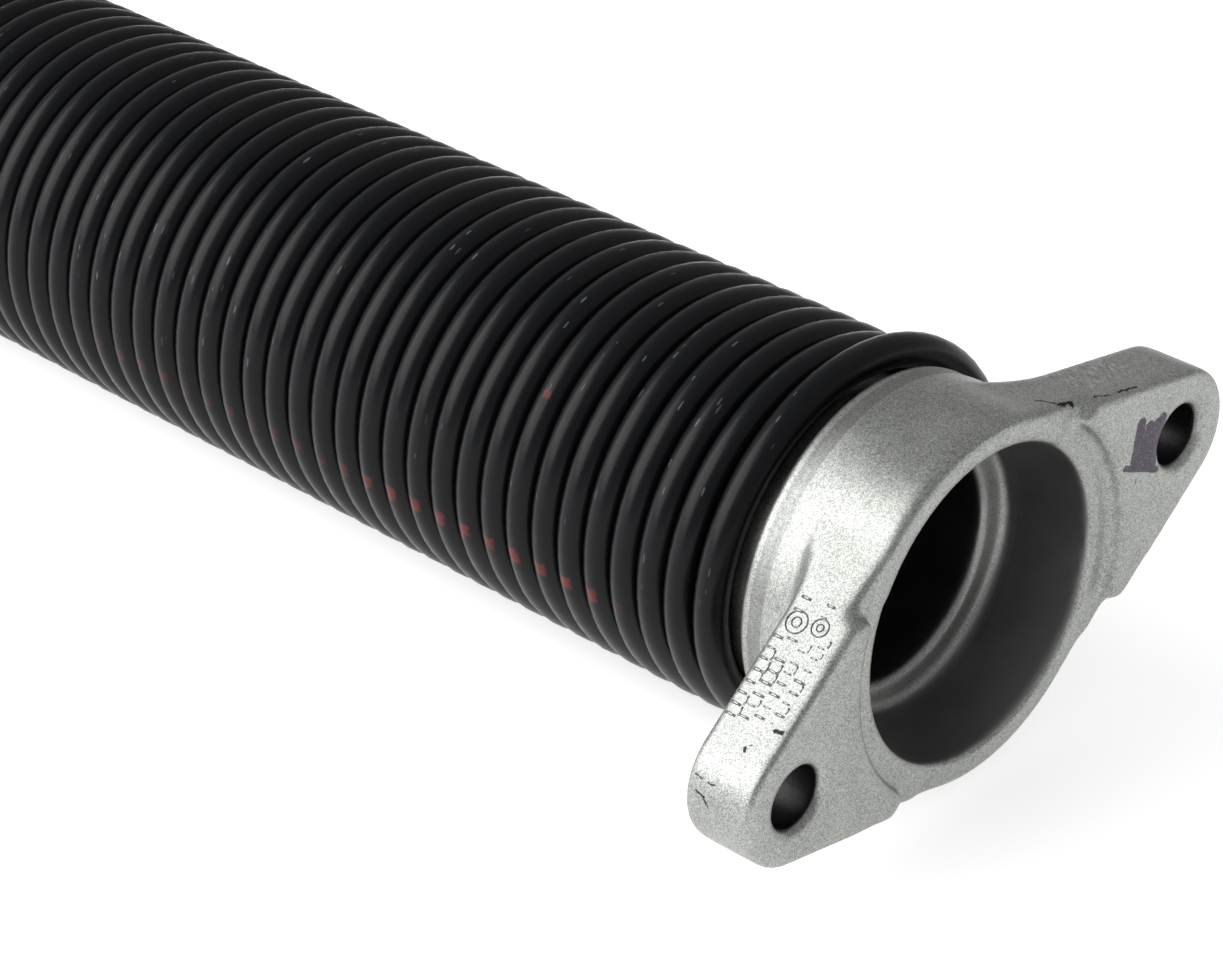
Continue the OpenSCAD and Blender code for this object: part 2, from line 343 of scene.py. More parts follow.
def paintMask(tree, place, x, radius, arc, outer):
    # the painted stripe, worn to a dash on each crest
    across = calc(tree, "ABSOLUTE", minus(tree, arc, math.radians(stripe["angle"]) * outer))
    ragged = strayed(tree, place, across, 800.0, 2.6 * mm)
    crest = strayed(tree, place, radius, 1100.0, 0.5 * mm)
    dash = times(tree, ramp(tree, ragged, stripe["halfLength"], stripe["halfLength"] * 0.6),
                 ramp(tree, crest, outer - 0.34 * mm, outer - 0.16 * mm))
    strength = times(
        tree, ramp(tree, x, stripe["strongFrom"] - 10 * mm, stripe["strongFrom"] + 4 * mm, stripe["faint"]),
        ramp(tree, x, stripe["strongTo"] + 1 * mm, stripe["strongTo"] - 9 * mm),
        ramp(tree, x, stripe["faintFrom"], stripe["faintFrom"] + 30 * mm),
        ramp(tree, noise(tree, place, 260.0, 2.0, 0.5, 3.0), 0.34, 0.52, 0.35))
    # one stray drop of it
    away = putNode(tree, "ShaderNodeVectorMath", {0: place, 1: stripe["drop"]}, operation="DISTANCE")
    away = strayed(tree, place, away.outputs["Value"], 900.0, 1.2 * mm)
    drop = times(tree, ramp(tree, away, stripe["dropRadius"], stripe["dropRadius"] - 0.3 * mm), 0.8)
    return calc(tree, "MAXIMUM", times(tree, dash, strength), drop)


def makeWireMaterial():
    material, tree, shader = newMaterial("blackWire")
    place, x, y, z, radius, angle = partPlace(tree)
    outer = coil["meanRadius"] + coil["wire"] / 2
    arc = times(tree, angle, outer)
    # a vector along the wire: stretched patterns run with the turns
    wound = putNode(tree, "ShaderNodeCombineXYZ", {
        "X": x, "Y": times(tree, arc, wireSkin["stretch"]), "Z": radius}).outputs[0]
    crest = ramp(tree, radius, outer - 0.75 * mm, outer - 0.1 * mm)
    streak = noise(tree, wound, 2200.0, 3.0, 0.6)
    colour = mixColour(tree, noise(tree, place, 90.0, 4.0, 0.6), wireSkin["dark"], wireSkin["light"])
    rubbedAndGlint = rubAndGlintMask(tree, place, wound, y, z, crest)
    # rubbed wear, with painted glints of the highlight
    colour = mixColour(tree, rubbedAndGlint, colour, wireSkin["rubbedAndGlint"])
    colour = mixColour(tree, paintMask(tree, place, x, radius, arc, outer), colour, stripe["colour"])
    tree.links.new(colour, shader.inputs["Base Color"])
    rough = plus(tree, wireSkin["roughness"], times(tree, minus(tree, streak, 0.5), 0.25))
    tree.links.new(plus(tree, rough, times(tree, rubbedAndGlint, 0.3)), shader.inputs["Roughness"])
    height = plus(tree, times(tree, streak, 0.6), times(tree, noise(tree, place, 2600.0, 2.0), 0.4))
    addBump(tree, shader, height, wireSkin["bump"], 0.02 * mm)
    shader.inputs["Specular IOR Level"].default_value = wireSkin["specular"]
    return material


def wander(tree, halfTurn, scale, reach):
    # a slow random drift along the coil
    values = {"W": halfTurn, "Scale": scale, "Detail": 1.0}
    drift = putNode(tree, "ShaderNodeTexNoise", values, noise_dimensions="1D").outputs[0]
    return times(tree, minus(tree, drift, 0.5), reach)


def coilTree():
    tree, source, result = geometryTree("woundCoil", [
        ("Turns", "NodeSocketFloat"), ("Points", "NodeSocketInt"), ("Sides", "NodeSocketInt"),
        ("Radius", "NodeSocketFloat"), ("Wire Radius", "NodeSocketFloat"), ("Start", "NodeSocketFloat"),
        ("Pitch", "NodeSocketFloat"), ("Opening", "NodeSocketFloat"), ("Open Half Turns", "NodeSocketFloat"),
        ("Start Angle", "NodeSocketFloat"), ("End Lift", "NodeSocketFloat"), ("Wander", "NodeSocketFloat"),
        ("Swell", "NodeSocketFloat"), ("Material", "NodeSocketMaterial")])
    get = source.outputs
    line = putNode(tree, "GeometryNodeCurvePrimitiveLine")
    points = putNode(tree, "GeometryNodeResampleCurve", {"Curve": line.outputs[0], "Count": get["Points"]})
    index = putNode(tree, "GeometryNodeInputIndex").outputs[0]
    share = calc(tree, "DIVIDE", index, minus(tree, get["Points"], 1))
    halfTurn = times(tree, share, times(tree, get["Turns"], 2))
    opened = calc(tree, "MINIMUM", halfTurn, get["Open Half Turns"])
    openShare = calc(tree, "DIVIDE", opened, get["Open Half Turns"])
    advance = plus(tree, times(tree, halfTurn, calc(tree, "DIVIDE", get["Pitch"], 2)),
                   times(tree, get["Opening"], openShare))
    angle = plus(tree, times(tree, halfTurn, math.pi), get["Start Angle"])
    x = plus(tree, minus(tree, get["Start"], advance), wander(tree, halfTurn, 0.35, get["Wander"]))
    lift = times(tree, calc(tree, "LESS_THAN", halfTurn, 1), get["End Lift"])
    swell = wander(tree, plus(tree, halfTurn, 500), 0.45, get["Swell"])
    radius = plus(tree, plus(tree, get["Radius"], swell), lift)

    def across(turning):
        centre = times(tree, lift, calc(tree, turning, get["Start Angle"]))
        return plus(tree, centre, times(tree, radius, calc(tree, turning, angle)))

    place = putNode(tree, "ShaderNodeCombineXYZ", {"X": x, "Y": across("COSINE"), "Z": across("SINE")})
    wound = putNode(tree, "GeometryNodeSetPosition", {
        "Geometry": points.outputs[0], "Position": place.outputs[0]})
    section = putNode(tree, "GeometryNodeCurvePrimitiveCircle", {
        "Resolution": get["Sides"], "Radius": get["Wire Radius"]})
    solid = putNode(tree, "GeometryNodeCurveToMesh", {
        "Curve": wound.outputs[0], "Profile Curve": section.outputs[0], "Fill Caps": True})
    finishTree(tree, source, result, solid.outputs[0])
    return tree


def makeCoil():
    low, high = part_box("spring_coil")
    start = high.x - coil["wire"] / 2
    length = start - (low.x + coil["wire"] / 2)
    mesh = runTree(coilTree(), {
        "Turns": float(coil["turns"]), "Points": coil["turns"] * coil["stepsPerTurn"] + 1,
        "Sides": coil["sides"],
        "Radius": coil["meanRadius"], "Wire Radius": coil["wire"] / 2, "Start": start,
        "Pitch": (length - coil["opening"]) / coil["turns"], "Opening": coil["opening"],
        "Open Half Turns": float(coil["openHalfTurns"]), "Start Angle": math.radians(coil["startAngle"]),
        "End Lift": coil["endLift"], "Wander": coil["wander"], "Swell": coil["swell"],
        "Material": makeWireMaterial()})
    meshPiece("springCoil", mesh, None, "spring", "coil_wire", "spring_coil")


makeCoil()


stationary = {
    "voxel": 0.55,             # mm, fineness of the skin
    "softRounds": 4,           # blur of cast edges
    "crispRounds": 2,          # blur of machined or sharp cast edges
    "maskRounds": 3,           # blur of the border between the two
    "rimRadius": 31 * mm,      # the pocket's rim is crisp within this radius and depth
    "rimDepth": 5 * mm,
    "frontDepth": 1.2 * mm,    # so are the ears' front edges beyond frontRadius
    "frontRadius": 37 * mm,
    "holeRadius": 6.5 * mm,    # but not the rims of their holes
}

winding = {
    "voxel": 0.65,
    "softRounds": 3,
    "crispRounds": 1,
    "maskRounds": 3,
    "boreRadius": 15 * mm,     # machined edges are crisp within boreRadius and beyond mouthRadius
    "mouthRadius": 31.5 * mm,
}


def earPlace(y, z):
    # along and across the line through both ears
    turn = math.cos(earTilt), math.sin(earTilt)
    return y * turn[0] + z * turn[1], z * turn[0] - y * turn[1]


def stationaryCrispness(x, y, z):
    along, across = earPlace(y, z)
    hole = np.hypot(np.abs(along) - holeOffset, across)
    radius = np.hypot(y, z)
    rim = (radius < stationary["rimRadius"]) & (x > -stationary["rimDepth"])
    front = (radius > stationary["frontRadius"]) & (x > -stationary["frontDepth"])
    return (rim | (front & (hole > stationary["holeRadius"]))).astype("f4")


def windingCrispness(x, y, z):
    radius = np.hypot(y, z)
    machined = (radius < winding["boreRadius"]) | (radius > winding["mouthRadius"])
    return machined.astype("f4") * np.ones_like(x)


def blurred(field, rounds):
    for number in range(rounds):
        for axis in range(3):
            line = np.moveaxis(field, axis, 0)
            smooth = line.copy()
            smooth[1:-1] = (line[:-2] + 2 * line[1:-1] + line[2:]) / 4
            field = np.moveaxis(smooth, 0, axis)
    return field


def sampled(field, places):
    # trilinear values of a grid at places given in voxels
    base = np.clip(np.floor(places).astype(int), 0, np.array(field.shape) - 2)
    part = places - base
    total = np.zeros(len(places))
    for corner in np.ndindex(2, 2, 2):
        weight = np.prod(np.where(corner, part, 1 - part), axis=1)
        total += weight * field[tuple((base + corner).T)]
    return total


def softenedMesh(node, values, crispness):
    # the solid as a distance field whose edges are blurred round, skinned again
    work = bmesh.new()
    work.from_mesh(frame["nodes"][node].data)
    bmesh.ops.remove_doubles(work, verts=work.verts, dist=1e-7)
    corners = np.array([vertex.co[:] for vertex in work.verts]) / mm
    triangles = np.array([[vertex.index for vertex in face.verts] for face in work.faces])
    work.free()
    voxel = values["voxel"]
    transform = openvdb.createLinearTransform(voxelSize=voxel)
    grid = openvdb.FloatGrid.createLevelSetFromPolygons(
        corners.astype("f4"), triangles=triangles.astype("u4"), transform=transform,
        halfWidth=values["softRounds"] + 3.0)
    low, high = (np.array(corner) for corner in grid.evalActiveVoxelBoundingBox())
    low = low - 2
    field = np.empty(high - low + 3, "f4")
    grid.copyToArray(field, ijk=tuple(int(value) for value in low))
    axes = [(low[axis] + np.arange(field.shape[axis])) * voxel * mm for axis in range(3)]
    mask = blurred(crispness(*np.meshgrid(*axes, indexing="ij")), values["maskRounds"])
    soft = blurred(field, values["softRounds"])
    field = soft + (blurred(field, values["crispRounds"]) - soft) * mask
    result = openvdb.FloatGrid(float(field.max()))
    result.transform = transform
    result.copyFromArray(np.ascontiguousarray(field), ijk=tuple(int(value) for value in low))
    points, quads = result.convertToQuads(0.0)
    points = np.array(points, float)
    # the points move onto the field's true zero
    slopes = [np.gradient(field, axis=axis) for axis in range(3)]
    for number in range(2):
        places = points / voxel - low
        slope = np.stack([sampled(one, places) for one in slopes], axis=1)
        steep = np.maximum((slope ** 2).sum(axis=1), 1e-9)
        step = np.clip(sampled(field, places) / steep, -voxel, voxel)
        points -= slope * (step * voxel)[:, None]
    mesh = bpy.data.meshes.new(node + "Skin")
    mesh.from_pydata((points * mm).tolist(), [], np.array(quads).tolist())
    mesh.validate()
    mesh.shade_smooth()
    return mesh


ear = {
    "waist": 29.0 * mm,        # how far its side walls' planes run from the spring's axis
    "endRadius": 10.6 * mm,
}


def wallDirections(side):
    # an ear's upper side wall (side is 1 on the +Y ear): where it starts at the ear's end, the way
    # towards the neck and the way outwards
    slope = math.asin((ear["waist"] - ear["endRadius"]) / holeOffset)
    tilt = Matrix.Rotation(earTilt, 3, "X")
    outwards = tilt @ Vector((0, side * math.sin(slope), math.cos(slope)))
    inwards = tilt @ Vector((0, -side * math.cos(slope), math.sin(slope)))
    start = tilt @ Vector((0, side * holeOffset, 0)) + outwards * ear["endRadius"]
    return start, inwards, outwards


def dotted(tree, place, direction, start=Vector((0, 0, 0))):
    # how far a place lies from a start in one direction
    product = putNode(tree, "ShaderNodeVectorMath", {0: place, 1: direction}, operation="DOT_PRODUCT")
    return minus(tree, product.outputs["Value"], start.dot(direction))


def strokeMask(tree, u, v, start, end, reach):
    # 1 within reach of a line from start to end
    across = Vector(end) - Vector(start)
    length = across.length
    across.normalize()
    du = minus(tree, u, start[0])
    dv = minus(tree, v, start[1])
    along = plus(tree, times(tree, du, across.x), times(tree, dv, across.y))
    off = minus(tree, times(tree, dv, across.x), times(tree, du, across.y))
    inside = calc(tree, "MINIMUM", calc(tree, "MAXIMUM", along, 0.0), length)
    away = hypotenuse(tree, off, minus(tree, along, inside))
    return ramp(tree, away, reach, reach - 0.2 * mm)


def strokesMask(tree, u, v, strokes):
    total = 0.0
    for start, end, reach in strokes:
        mask = strokeMask(tree, u, v, Vector(start) * mm, Vector(end) * mm, reach * mm)
        total = calc(tree, "MAXIMUM", mask, total)
    return total


marks = {
    # in mm, felt pen on the +Y ear's face: strokes along the ears' line and across it, with their reach
    "pen": [((33.1, 3.2), (35.6, 8.8), 1.25), ((34.7, 2.0), (37.3, 6.9), 1.25),
            ((36.0, 0.9), (39.2, 6.2), 1.25), ((37.0, 0.0), (40.4, 6.4), 1.1),
            ((30.9, 3.7), (38.0, -1.8), 0.62)],
    "penColour": (0.060, 0.045, 0.069),
    # in mm, nicks on the upper side walls: from the ear's end towards the neck and along X, with reach
    "nicks": {
        -1: [((1.3, -5.3), (1.1, -5.1), 0.45), ((1.9, -4.7), (2.1, -4.4), 0.22),
             ((5.5, -1.5), (5.2, -2.5), 0.42), ((6.2, -3.6), (6.1, -3.5), 0.2),
             ((-4.7, -10.6), (-5.0, -9.3), 0.2), ((-5.0, -8.2), (-5.1, -7.0), 0.22),
             ((-6.5, -10.0), (-6.9, -8.3), 0.24), ((-7.1, -8.4), (-7.7, -7.4), 0.2)],
        1: [((31.4, -5.4), (29.6, -3.0), 0.3), ((29.6, -3.0), (26.6, -2.6), 0.36),
            ((22.4, -1.8), (19.6, -1.2), 0.25), ((17.4, -1.2), (13.2, -0.9), 0.34)],
    },
    "nickColour": (0.025, 0.025, 0.027),
    "nickDepth": 3.6 * mm,     # only so far below the wall
    "scuffFrom": 6.0 * mm,     # a scuffed stretch of the +Y ear's upper wall
    "scuffTo": 25.0 * mm,
    "scuffLight": (0.80, 0.80, 0.82),
    "scuffDark": (0.12, 0.12, 0.13),
    "ringFrom": -21.9 * mm,    # a turned band on the neck beside the coil, where painted shade darkens its slope
    "ringTo": -19.4 * mm,
    "ringShade": (0.13, 0.13, 0.13),
    "linesFrom": -12.4 * mm,   # fine turned lines cover the neck behind this place
    "lineColour": (0.10, 0.10, 0.10),
}


def holePlace(tree, place):
    # along and across the line through both ears, and how far the nearer bolt hole's axis is
    tilt = Matrix.Rotation(earTilt, 3, "X")
    u = dotted(tree, place, tilt @ Vector((0, 1, 0)))
    v = dotted(tree, place, tilt @ Vector((0, 0, 1)))
    return u, v, hypotenuse(tree, minus(tree, calc(tree, "ABSOLUTE", u), holeOffset), v)


def paintDepthShade(tree, colour, x, radius, hole, values):
    # painted shade darkens the pocket, the passage behind it and the drilled holes, and painted light keeps
    # the pocket's floor lighter
    edge = 0.1 * mm
    inside = times(tree, ramp(tree, radius, values["pocketRadius"] + edge, values["pocketRadius"] - edge),
                   ramp(tree, x, values["pocketFrom"], values["pocketFrom"] - 0.3 * mm))
    passage = ramp(tree, x, values["shelf"] - 0.4 * mm, values["shelf"] - 1.4 * mm)
    shelf = calc(tree, "ABSOLUTE", minus(tree, x, values["shelf"]))
    # painted light on the pocket's floor
    lit = times(tree, ramp(tree, shelf, 1.3 * mm, 0.5 * mm), values["shelfPaintedLight"])
    depthShade = mixColour(tree, passage, values["pocket"], values["inner"])
    colour = mixColour(tree, times(tree, inside, minus(tree, 1.0, lit), 0.92), colour, depthShade)
    # painted shade in the drilled holes
    holeShadeMask = times(tree, ramp(tree, hole, values["holeRadius"] + 3 * edge, values["holeRadius"] + edge),
                    ramp(tree, x, values["holeFrom"], values["holeFrom"] - 0.3 * mm))
    return mixColour(tree, times(tree, holeShadeMask, 0.95), colour, values["hole"])


def turnNeck(tree, colour, x, angle):
    # fine turned lines on the neck, and painted shade on a turned band beside the coil
    edge = 0.1 * mm
    shadedBand = times(tree, ramp(tree, x, marks["ringFrom"] - edge, marks["ringFrom"] + edge),
                 ramp(tree, x, marks["ringTo"] + edge, marks["ringTo"] - edge))
    lines = putNode(tree, "ShaderNodeCombineXYZ", {"X": x, "Y": times(tree, angle, 0.4 * mm)}).outputs[0]
    line = ramp(tree, noise(tree, lines, 1600.0, 3.0, 0.6, 1.0), 0.50, 0.66)
    neck = times(tree, ramp(tree, x, marks["linesFrom"], marks["linesFrom"] - 1 * mm), line)
    colour = mixColour(tree, times(tree, neck, 0.22), colour, marks["lineColour"])
    # the turned band's slope gets painted shade
    return mixColour(tree, times(tree, shadedBand, 0.45), colour, marks["ringShade"])


def scuffWall(tree, colour, x, along, high):
    # scuffs run aslant over part of a wall
    slant = putNode(tree, "ShaderNodeCombineXYZ", {
        "X": times(tree, plus(tree, along, x), 0.25),
        "Y": minus(tree, along, times(tree, x, 0.6))}).outputs[0]
    streak = noise(tree, slant, 1500.0, 3.0, 0.65, 8.0)
    patch = times(tree, ramp(tree, along, marks["scuffFrom"], marks["scuffFrom"] + 3 * mm),
                  ramp(tree, along, marks["scuffTo"], marks["scuffTo"] - 3 * mm),
                  ramp(tree, x, -3.2 * mm, -5.0 * mm), ramp(tree, high, -0.6 * mm, -0.3 * mm))
    for start, end, paint in ((0.54, 0.64, marks["scuffLight"]), (0.46, 0.36, marks["scuffDark"])):
        colour = mixColour(tree, times(tree, patch, ramp(tree, streak, start, end), 0.55), colour, paint)
    return colour


def markWalls(tree, colour, place, x):
    # dark nicks on both ears' upper walls, and scuffs on the +Y one
    nicks = 0.0
    for side, strokes in marks["nicks"].items():
        start, inwards, outwards = wallDirections(side)
        along = dotted(tree, place, inwards, start)
        high = dotted(tree, place, outwards, start)
        near = times(tree, ramp(tree, high, -marks["nickDepth"] - 0.6 * mm, -marks["nickDepth"]),
                     ramp(tree, along, 38 * mm, 35 * mm))
        drawn = strokesMask(tree, strayed(tree, place, along, 700.0, 1.2 * mm, 5.0),
                            strayed(tree, place, x, 900.0, 1.3 * mm), strokes)
        nicks = calc(tree, "MAXIMUM", times(tree, drawn, near), nicks)
        if side > 0:
            colour = scuffWall(tree, colour, x, along, high)
    return mixColour(tree, nicks, colour, marks["nickColour"])


def inkFace(tree, colour, place, x, u, v, hole, grain, values):
    # the felt pen lies on the ear's face, ends beside the hole and misses the grain's bright dots
    ink = strokesMask(tree, strayed(tree, place, u, 600.0, 0.7 * mm),
                      strayed(tree, place, v, 600.0, 0.7 * mm, 4.0), marks["pen"])
    ink = times(tree, ink, ramp(tree, x, -1.2 * mm, -0.6 * mm),
                ramp(tree, hole, values["holeRadius"] + 0.1 * mm, values["holeRadius"] + 0.5 * mm),
                ramp(tree, grain, 0.80, 0.55, 0.75), 0.95)
    return mixColour(tree, ink, colour, marks["penColour"])


def makeCastMaterial(name, values, marked):
    material, tree, shader = newMaterial(name)
    place, x, y, z, radius, angle = partPlace(tree)
    grain = placeGroup(tree, grainGroup, {"Vector": place, "Scale": values["grainScale"]}).outputs
    cloud = noise(tree, place, 110.0, 4.0, 0.6, 2.0)
    shade = plus(tree, times(tree, grain["Shade"], 0.72), times(tree, cloud, 0.28))
    colour = mixColour(tree, ramp(tree, shade, 0.28, 0.72), values["dark"], values["light"])
    # dark pits and specks
    specks = placeGroup(tree, specksGroup, {
        "Vector": place, "Scale": 300.0, "Share": values["pitShare"], "Size": values["pitSize"], "Seed": 6.0})
    colour = mixColour(tree, times(tree, specks.outputs[0], 0.6), colour, values["pit"])
    if marked:
        u, v, hole = holePlace(tree, place)
        colour = paintDepthShade(tree, colour, x, radius, hole, values)
        colour = turnNeck(tree, colour, x, angle)
        colour = markWalls(tree, colour, place, x)
        colour = inkFace(tree, colour, place, x, u, v, hole, grain["Shade"], values)
    else:
        # painted shade inside the winding cone's bore
        boreShade = ramp(tree, radius, values["boreRadius"] + 0.4 * mm, values["boreRadius"] + 0.1 * mm)
        colour = mixColour(tree, times(tree, boreShade, 0.9), colour, values["inner"])
    shader.inputs["Metallic"].default_value = 1.0
    tree.links.new(colour, shader.inputs["Base Color"])
    rough = plus(tree, values["roughness"], times(tree, minus(tree, cloud, 0.5), 0.22))
    tree.links.new(rough, shader.inputs["Roughness"])
    height = plus(tree, grain["Height"], times(tree, cloud, 1.5))
    addBump(tree, shader, height, values["bump"], 0.05 * mm)
    return material


castAluminium = {
    "dark": (0.210, 0.216, 0.206),
    "light": (0.535, 0.550, 0.520),
    # the next three colours are painted shade: in the pocket, in the passage behind it and the winding cone's
    # bore, and in the bolt holes
    "pocket": (0.27, 0.27, 0.27),
    "inner": (0.115, 0.115, 0.118),
    "hole": (0.028, 0.028, 0.030),
    "pit": (0.06, 0.06, 0.06),
    "pitShare": 0.05,
    "pitSize": 0.09,
    "grainScale": 7200.0,
    "roughness": 0.42,
    "bump": 0.55,
    "holeRadius": 4.9 * mm,
    "holeFrom": -1.1 * mm,     # where its painted shade starts behind the ears' faces
    "boreRadius": 12.7 * mm,
    "pocketRadius": 24.9 * mm,
    "pocketFrom": -2.6 * mm,
    "shelf": -17.4 * mm,       # the pocket's floor, a band of painted light
    "shelfPaintedLight": 0.58,
}


def makeCastings():
    marked = makeCastMaterial("markedAluminiumPaintedShade", castAluminium, True)
    plain = makeCastMaterial("blastedAluminiumPaintedShade", castAluminium, False)
    meshPiece("stationaryCasting", softenedMesh("stationary_cone", stationary, stationaryCrispness), marked,
              "spring", "cast_aluminium", "stationary_cone")
    meshPiece("windingCasting", softenedMesh("winding_cone", winding, windingCrispness), plain,
              "winder", "cast_aluminium", "winding_cone")


makeCastings()


ticks = {
    "width": 0.44 * mm,
    "height": 0.16 * mm,
    "sunk": 0.05 * mm,
    "pitch": 1.8 * mm,
    "jitter": 0.16 * mm,
    "ringThickness": 0.12 * mm,
    # in mm, rows on the -Y ear's upper wall: from, to (from the ear's end), X, stroke, share left out
    "rows": [(4.6, 17.6, -10.3, 1.9, 0.10), (5.2, 17.8, -8.1, 2.2, 0.10), (6.0, 18.6, -5.7, 2.0, 0.12),
             (7.6, 20.2, -3.3, 1.9, 0.12), (22.0, 24.0, -9.6, 1.7, 0.0), (22.4, 24.4, -5.6, 1.7, 0.0)],
    # and dashes that run the other way and join them
    "dashes": [(5.5, 18.0, -9.2, 1.9, 0.25), (6.1, 18.4, -7.1, 1.5, 0.45), (6.9, 18.8, -4.8, 1.8, 0.25),
               (8.5, 20.0, -2.4, 1.3, 0.5)],
    # from the ear's end, X, radius
    "rings": [(20.2, -9.0, 1.7), (20.2, -9.0, 0.75), (20.9, -5.2, 1.35), (20.9, -5.2, 0.55)],
    "colour": (0.14, 0.14, 0.148),
    "crown": (0.48, 0.48, 0.48),    # the ticks' lighter tops
}


def makeTickMaterial():
    material, tree, shader = newMaterial("raisedTicks")
    place = putNode(tree, "ShaderNodeTexCoord").outputs["Object"]
    crown = putNode(tree, "ShaderNodeAttribute", attribute_name="crown").outputs["Fac"]
    worn = ramp(tree, noise(tree, place, 1400.0, 3.0, 0.6), 0.50, 0.66)
    # the tops are lighter than the darker sides, and patches of noise are lighter too
    lighterParts = calc(tree, "MAXIMUM", crown, times(tree, worn, 0.6))
    colour = mixColour(tree, lighterParts, ticks["colour"], ticks["crown"])
    tree.links.new(colour, shader.inputs["Base Color"])
    shader.inputs["Metallic"].default_value = 1.0
    shader.inputs["Roughness"].default_value = 0.5
    return material


def tickTree():
    # a row of flat-topped bars, some left out, each a little off its place and size
    tree, source, result = geometryTree("tickRow", [
        ("Start", "NodeSocketVector"), ("Step", "NodeSocketVector"), ("Count", "NodeSocketInt"),
        ("Size", "NodeSocketVector"), ("Turn", "NodeSocketVector"), ("Jitter", "NodeSocketFloat"),
        ("Left Out", "NodeSocketFloat"), ("Seed", "NodeSocketInt"), ("Material", "NodeSocketMaterial")])
    get = source.outputs

    def vectorMath(operation, first, second=None):
        inputs = {0: first}
        if second is not None:
            inputs["Scale" if operation == "SCALE" else 1] = second
        return putNode(tree, "ShaderNodeVectorMath", inputs, operation=operation).outputs[0]

    def chance(kind, shift, low, high):
        # the node's sockets 0 and 1 are for vectors, 2 and 3 for single values
        first = 0 if kind == "FLOAT_VECTOR" else 2
        inputs = {"Seed": plus(tree, get["Seed"], shift), first: low, first + 1: high}
        return putNode(tree, "FunctionNodeRandomValue", inputs, data_type=kind).outputs[first // 2]

    line = putNode(tree, "GeometryNodeMeshLine", {
        "Count": get["Count"], "Start Location": get["Start"], "Offset": get["Step"]})
    missing = putNode(tree, "FunctionNodeRandomValue", {"Probability": get["Left Out"], "Seed": get["Seed"]},
                      data_type="BOOLEAN")
    kept = putNode(tree, "GeometryNodeDeleteGeometry", {
        "Geometry": line.outputs[0], "Selection": missing.outputs[3]})
    shift = vectorMath("SCALE", chance("FLOAT_VECTOR", 3, (-1, -1, -1), (1, 1, 1)), get["Jitter"])
    strayAlong = vectorMath("PROJECT", shift, vectorMath("NORMALIZE", get["Step"]))
    strayX = vectorMath("MULTIPLY", shift, (1, 0, 0))
    kept = putNode(tree, "GeometryNodeSetPosition", {
        "Geometry": kept.outputs[0], "Offset": vectorMath("ADD", strayAlong, strayX)})
    cone = putNode(tree, "GeometryNodeMeshCone", {
        "Vertices": 4, "Radius Top": 0.25, "Radius Bottom": math.sqrt(0.5), "Depth": 1.0})
    normal = putNode(tree, "GeometryNodeInputNormal").outputs[0]
    upward = putNode(tree, "ShaderNodeSeparateXYZ", {"Vector": normal}).outputs[2]
    top = calc(tree, "GREATER_THAN", upward, 0.9)
    bar = putNode(tree, "GeometryNodeStoreNamedAttribute", {
        "Geometry": cone.outputs[0], "Name": "crown", "Value": top}, data_type="FLOAT", domain="FACE")
    square = putNode(tree, "GeometryNodeTransform", {
        "Geometry": bar.outputs[0], "Rotation": (0, 0, math.pi / 4)})
    size = vectorMath("SCALE", get["Size"], chance("FLOAT", 7, 0.75, 1.2))
    placed = putNode(tree, "GeometryNodeInstanceOnPoints", {
        "Points": kept.outputs[0], "Instance": square.outputs[0], "Rotation": get["Turn"], "Scale": size})
    finishTree(tree, source, result, placed.outputs[0], smooth=False)
    return tree


def ringTree():
    tree, source, result = geometryTree("castRing", [
        ("Centre", "NodeSocketVector"), ("Radius", "NodeSocketFloat"), ("Thickness", "NodeSocketFloat"),
        ("Turn", "NodeSocketVector"), ("Material", "NodeSocketMaterial")])
    get = source.outputs
    circle = putNode(tree, "GeometryNodeCurvePrimitiveCircle", {"Resolution": 32, "Radius": get["Radius"]})
    thread = putNode(tree, "GeometryNodeCurvePrimitiveCircle", {"Resolution": 8, "Radius": get["Thickness"]})
    solid = putNode(tree, "GeometryNodeCurveToMesh", {
        "Curve": circle.outputs[0], "Profile Curve": thread.outputs[0]})
    laid = putNode(tree, "GeometryNodeTransform", {
        "Geometry": solid.outputs[0], "Translation": get["Centre"], "Rotation": get["Turn"]})
    finishTree(tree, source, result, laid.outputs[0])
    return tree


def makeTicks():
    start, inwards, outwards = wallDirections(-1)
    turn = tuple(Matrix((inwards, outwards.cross(inwards), outwards)).transposed().to_euler())
    material = makeTickMaterial()
    row, ring = tickTree(), ringTree()
    meshes = []
    for rows, lengthwise in ((ticks["rows"], False), (ticks["dashes"], True)):
        for first, last, depth, stroke, leftOut in rows:
            size = (stroke * mm, ticks["width"]) if lengthwise else (ticks["width"], stroke * mm)
            count = int((last - first) * mm / ticks["pitch"]) + 1
            meshes.append(runTree(row, {
                "Start": tuple(start + inwards * first * mm + axisX * depth * mm - outwards * ticks["sunk"]),
                "Step": tuple(inwards * ticks["pitch"]), "Count": count,
                "Size": (*size, ticks["height"]), "Turn": turn, "Jitter": ticks["jitter"],
                "Left Out": leftOut, "Seed": len(meshes) + 3, "Material": material}))
    for along, depth, reach in ticks["rings"]:
        meshes.append(runTree(ring, {
            "Centre": tuple(start + inwards * along * mm + axisX * depth * mm), "Radius": reach * mm,
            "Thickness": ticks["ringThickness"], "Turn": turn, "Material": material}))
    joined = bmesh.new()
    for mesh in meshes:
        joined.from_mesh(mesh)
    mesh = bpy.data.meshes.new("castTicks")
    joined.to_mesh(mesh)
    joined.free()
    meshPiece("castTicks", mesh, material, "spring", "cast_aluminium")


makeTicks()


